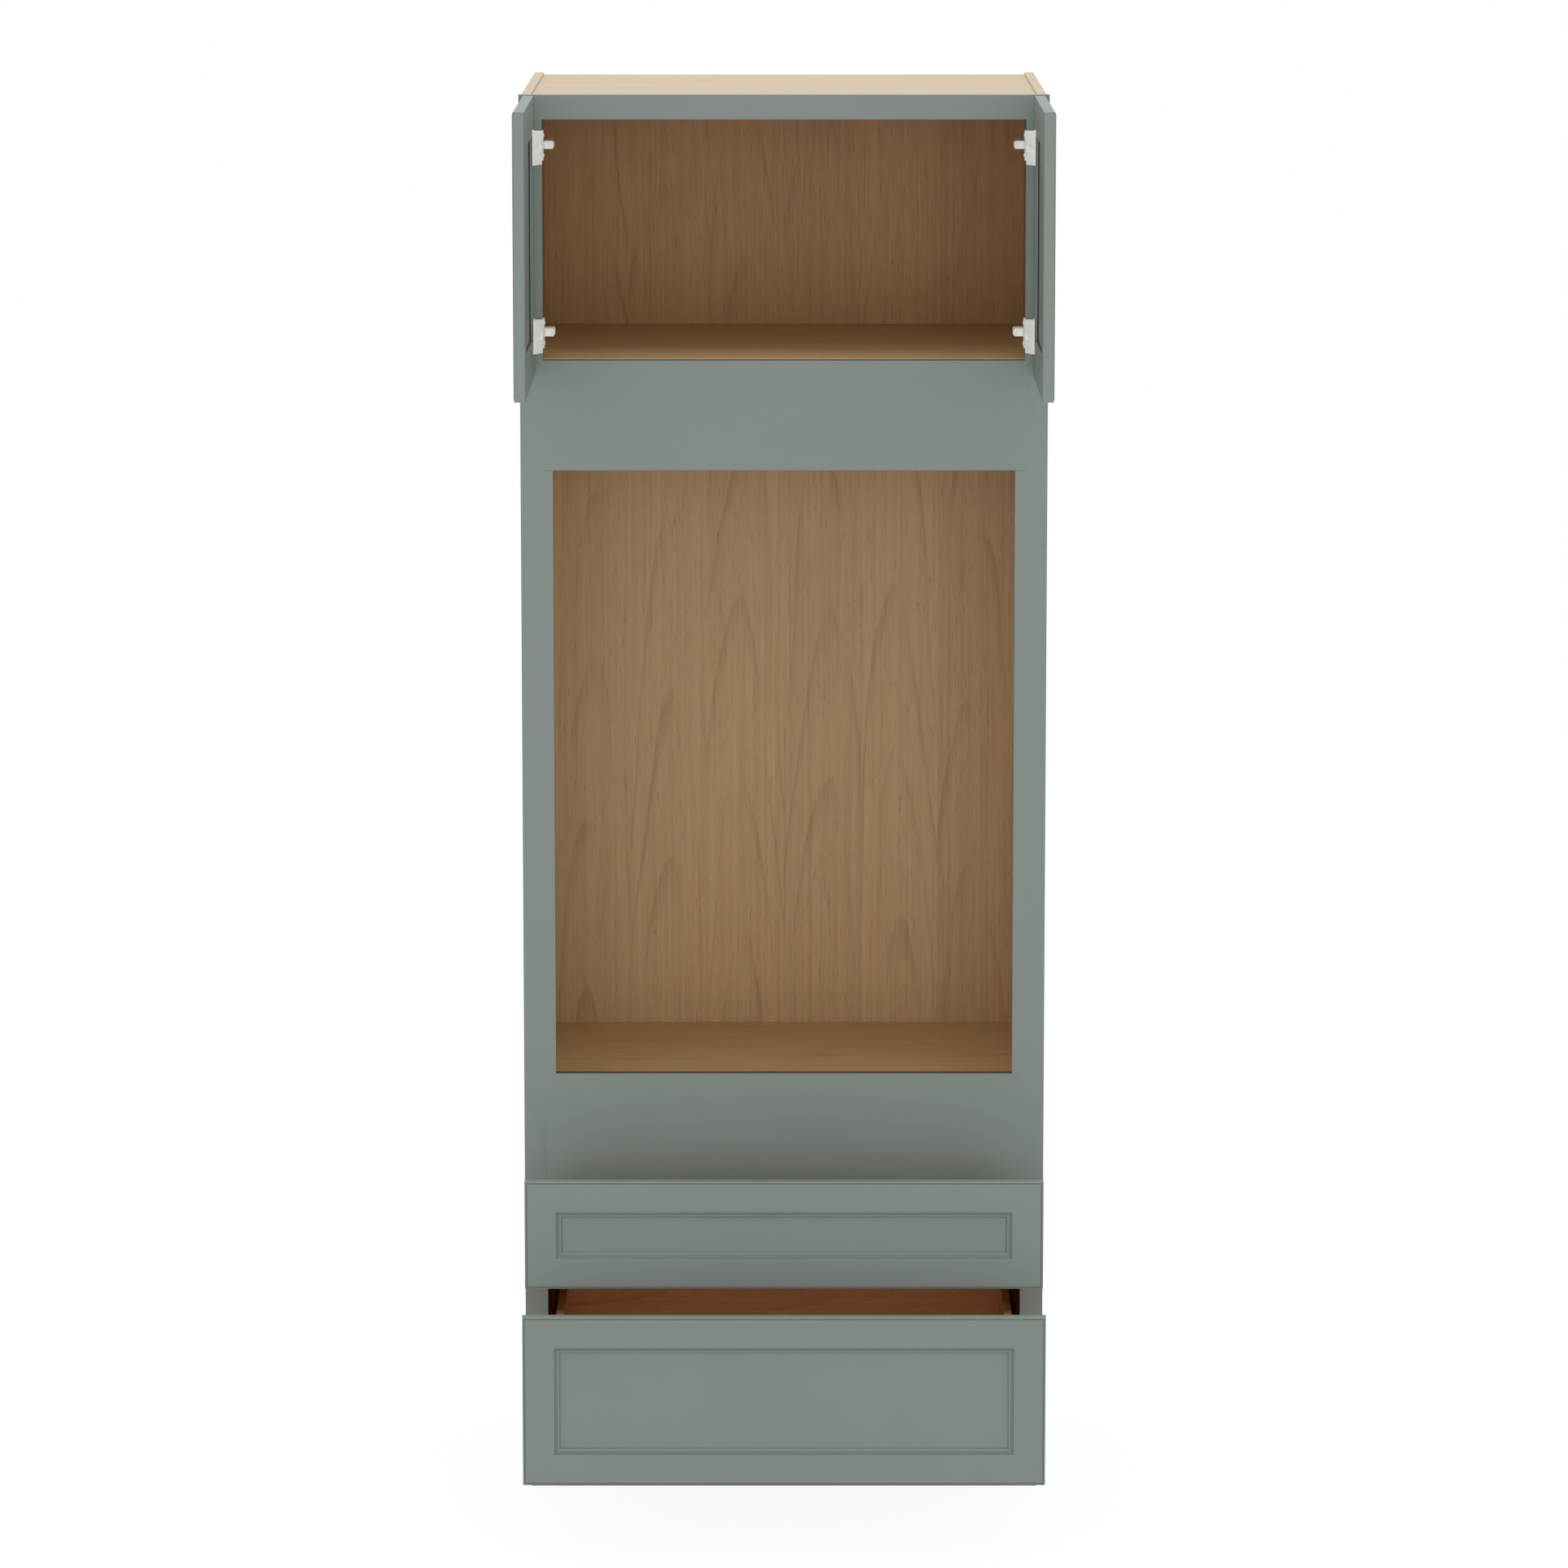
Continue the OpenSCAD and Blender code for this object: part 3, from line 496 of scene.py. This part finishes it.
def screw_unit(name, radius, height, spread=32, rings=10):
    """A domed screw head with a cross recess and its short shank, its seat at the origin."""
    bm = bmesh.new()
    shank = 0.45 * radius
    rim = 0.35 * height
    arm_half = 0.16 * radius
    arm_reach = 0.62 * radius
    recess = 0.75 * height
    outline = [(shank, -2.5 * height), (shank, 0.0), (radius, 0.0), (radius, rim)]
    angles = [2 * math.pi * i / spread for i in range(spread)]

    def top(r, angle):
        """The height of the head's top, with the cross sunk into its dome."""
        dome = rim + (height - rim) * math.sqrt(max(0.0, 1 - (r / radius) ** 2 * 0.98))
        x, y = abs(r * math.cos(angle)), abs(r * math.sin(angle))
        arm = max(0.0, 1 - min(x, y) / arm_half)
        deep = max(0.0, 1 - r / arm_reach)
        return dome - recess * min(1.0, 2.5 * arm) * min(1.0, 2.0 * deep)

    loops = [[bm.verts.new((r * math.cos(a), r * math.sin(a), z)) for a in angles]
             for r, z in outline]
    for k in range(1, rings + 1):
        r = radius * (1 - k / (rings + 1)) ** 0.8
        loops.append([bm.verts.new((r * math.cos(a), r * math.sin(a), top(r, a)))
                      for a in angles])
    for low, high in zip(loops, loops[1:]):
        for i in range(spread):
            j = (i + 1) % spread
            bm.faces.new((low[i], low[j], high[j], high[i]))
    centre = bm.verts.new((0, 0, top(0, 0)))
    for i in range(spread):
        bm.faces.new((loops[-1][i], loops[-1][(i + 1) % spread], centre))
    bm.faces.new(list(reversed(loops[0])))
    for face in bm.faces:
        face.smooth = True
    for edge in bm.edges:
        if len(edge.link_faces) == 2 and edge.calc_face_angle(0) > CORNER_ABOVE:
            edge.smooth = False
    mesh = bpy.data.meshes.new(name)
    bm.to_mesh(mesh)
    bm.free()
    return bpy.data.objects.new(name, mesh)


def ball_unit(name, radius, turns=20):
    """A bearing ball held in its cage's cup: a ball with a thin raised collar round it."""
    bm = bmesh.new()
    bmesh.ops.create_uvsphere(bm, u_segments=turns, v_segments=12, radius=radius)
    # the collar's section, in ball radii out from and up from the ball's centre
    section = [(1.02, -0.22), (1.30, -0.22), (1.30, 0.22), (1.02, 0.22)]
    ring = [[bm.verts.new((radius * r * math.cos(2 * math.pi * i / turns),
                           radius * r * math.sin(2 * math.pi * i / turns), radius * z))
             for r, z in section] for i in range(turns)]
    for i in range(turns):
        after = ring[(i + 1) % turns]
        for k in range(len(section)):
            m = (k + 1) % len(section)
            bm.faces.new((ring[i][k], after[k], after[m], ring[i][m]))
    for face in bm.faces:
        face.smooth = True
    for edge in bm.edges:
        if edge.calc_face_angle(0) > CORNER_ABOVE:
            edge.smooth = False
    bmesh.ops.recalc_face_normals(bm, faces=bm.faces[:])
    mesh = bpy.data.meshes.new(name)
    bm.to_mesh(mesh)
    bm.free()
    return bpy.data.objects.new(name, mesh)


FITTINGS = fittings_tree()


def fit(name, unit, places, finish, body, seed=1):
    """Sets one body's fittings at (point, direction) places and leaves them as one plain mesh."""
    mesh = bpy.data.meshes.new(name)
    mesh.from_pydata([p for p, _ in places], [], [])
    towards = mesh.attributes.new("towards", "FLOAT_VECTOR", "POINT")
    towards.data.foreach_set("vector", [c for _, d in places for c in d])
    piece = bpy.data.objects.new(name, mesh)
    scene.collection.objects.link(piece)
    modifier = piece.modifiers.new("fittings", "NODES")
    modifier.node_group = FITTINGS
    sockets = {s.name: s.identifier for s in FITTINGS.interface.items_tree}
    modifier[sockets["Fitting"]] = unit
    modifier[sockets["Finish"]] = finish
    modifier[sockets["Seed"]] = seed
    settle(piece)
    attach(piece, body)


def mirrored(places):
    """The same places on the other side of the cabinet as well."""
    return places + [((-p[0], p[1], p[2]), (-d[0], d[1], d[2])) for p, d in places]


# hinges
HALF_PLATE = 23.75 * MM          # half a hinge plate's height
PLATE_SCREW_RISE = 16 * MM       # from the middle of a plate
PLATE_SCREW_FORWARD = 1 * MM
CUP_SCREW_RISE = 21.5 * MM       # from the middle of a cup
CUP_SCREW_REACH = 34.6 * MM      # from the door's hinge edge
FLANGE = 1.5 * MM                # thickness of a cup's flange
# slides, measured from the stile's inner edge or the slide's own middle height
SHEET = 1.2 * MM
OUTER_BALLS_IN = 6.0 * MM
INNER_BALLS_IN = 7.6 * MM
OUTER_BALLS_RISE = 19.6 * MM
INNER_BALLS_RISE = 14.6 * MM
OUTER_BALL = 1.55 * MM           # radius
INNER_BALL = 1.95 * MM
BALLS_IN_A_ROW = 12
BALL_PITCH = 16 * MM
CAGE_END = 12 * MM               # from a middle member's end to its first ball
CABINET_SCREWS = (0.037, 0.261, 0.485)    # metres from the member's front end
DRAWER_SCREWS = (0.045, 0.26, 0.475)
# drawer fronts
FRONT_SCREWS_X = (-0.26, -0.09, 0.09, 0.26)   # metres from the cabinet's middle
FRONT_SCREWS_UP = 32 * MM        # from the box's lower edge
FRONT_SCREWS_DOWN = 26 * MM      # from its upper edge

plate_low, plate_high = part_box("left_hinge_plates")
hinge_z = [plate_low.z + HALF_PLATE, plate_high.z - HALF_PLATE]
plate_face = -plate_high.x
plate_y = (plate_low.y + plate_high.y) / 2 - PLATE_SCREW_FORWARD
stile_low, stile_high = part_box("right_door_hinge_stile")
flange_face = stile_low.x - FLANGE
cup_screw_y = stile_high.y - CUP_SCREW_REACH

small_screw = screw_unit("pan_head_3_5", 3.0 * MM, 1.3 * MM)
flat_screw = screw_unit("slide_screw_flat", 3.2 * MM, 0.9 * MM)
front_screw = screw_unit("washer_head_front_screw", 5.0 * MM, 2.2 * MM)

for side, sign in (("left", -1), ("right", 1)):
    plate_places = [((sign * plate_face, plate_y, z + rise), (-sign, 0, 0)) for z in hinge_z
                    for rise in (-PLATE_SCREW_RISE, PLATE_SCREW_RISE)]
    cup_places = [((sign * flange_face, cup_screw_y, z + rise), (-sign, 0, 0)) for z in hinge_z
                  for rise in (-CUP_SCREW_RISE, CUP_SCREW_RISE)]
    fit(f"{side}_hinge_plate_screws", small_screw, plate_places, nickel,
        "cabinet", 3)
    fit(f"{side}_hinge_cup_screws", small_screw, cup_places, nickel,
        f"{side}_door", 5)

for drawer in ("upper", "lower"):
    low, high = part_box(f"{drawer}_box_front")
    places = [((x, high.y, z), (0, 1, 0)) for x in FRONT_SCREWS_X
              for z in (low.z + FRONT_SCREWS_UP, high.z - FRONT_SCREWS_DOWN)]
    fit(f"{drawer}_front_screws", front_screw, places, zinc,
        f"{drawer}_drawer", 7)

cabinet_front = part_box("slide_cabinet_members")[0].y
cabinet_web = stile_inner - SHEET
slide_screws = []
for drawer in ("upper", "lower"):
    run_low, run_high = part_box(f"{drawer}_slide_middle_members")
    middle_z = (run_low.z + run_high.z) / 2
    slide_screws += mirrored([((-cabinet_web, cabinet_front + y, middle_z), (1, 0, 0))
                              for y in CABINET_SCREWS])
    drawer_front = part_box(f"{drawer}_slide_drawer_members")[0].y
    drawer_web = -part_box(f"{drawer}_box_left_side")[0].x + SHEET
    fit(f"{drawer}_drawer_member_screws", flat_screw,
        mirrored([((-drawer_web, drawer_front + y, middle_z), (-1, 0, 0))
                  for y in DRAWER_SCREWS]), zinc, f"{drawer}_drawer", 9)
    outer_x = stile_inner - OUTER_BALLS_IN
    inner_x = stile_inner - INNER_BALLS_IN
    outer_places = mirrored([
        ((-outer_x, run_high.y - CAGE_END - i * BALL_PITCH, middle_z + s * OUTER_BALLS_RISE),
         (1, 0, 0)) for i in range(BALLS_IN_A_ROW) for s in (-1, 1)])
    inner_places = mirrored([
        ((-inner_x, run_low.y + CAGE_END + i * BALL_PITCH, middle_z + s * INNER_BALLS_RISE),
         (1, 0, 0)) for i in range(BALLS_IN_A_ROW) for s in (-1, 1)])
    fit(f"{drawer}_outer_slide_balls", ball_unit(f"{drawer}_outer_ball", OUTER_BALL),
        outer_places, zinc, f"{drawer}_slide_middle")
    fit(f"{drawer}_inner_slide_balls", ball_unit(f"{drawer}_inner_ball", INNER_BALL),
        inner_places, zinc, f"{drawer}_slide_middle")
fit("slide_cabinet_screws", flat_screw, slide_screws, zinc, "cabinet", 11)
